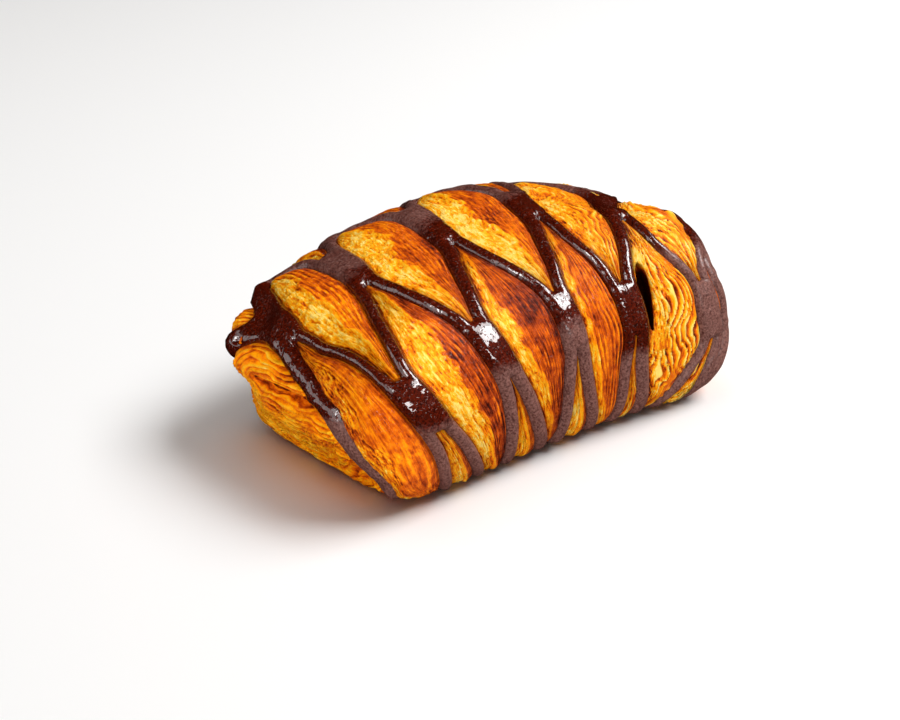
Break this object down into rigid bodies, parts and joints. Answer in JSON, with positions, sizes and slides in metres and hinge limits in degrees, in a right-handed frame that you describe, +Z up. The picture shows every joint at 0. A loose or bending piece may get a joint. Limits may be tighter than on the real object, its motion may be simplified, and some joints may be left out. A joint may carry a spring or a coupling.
{
  "type": "pain au chocolat",
  "caption": "Baked laminated pastry roll with a glossy dark chocolate net over its crust and a bar of dark chocolate inside.",
  "frame": {"origin": "centre of the bounding box on the flat underside, where the roll rests on the table", "axes": "+X along the roll towards its higher, narrower end; -Y towards the long side that the picture shows; +Z up"},
  "size_m": [0.1257, 0.0896, 0.0537],
  "materials": {
    "baked_crust": "egg-washed flaky crust, golden to red-brown",
    "chocolate_net": "glossy dark chocolate",
    "dark_chocolate": "satin dark chocolate"
  },
  "bodies": {
    "root": {"pastry": "baked_crust", "chocolate_filling": "dark_chocolate"}
  },
  "joints": []
}
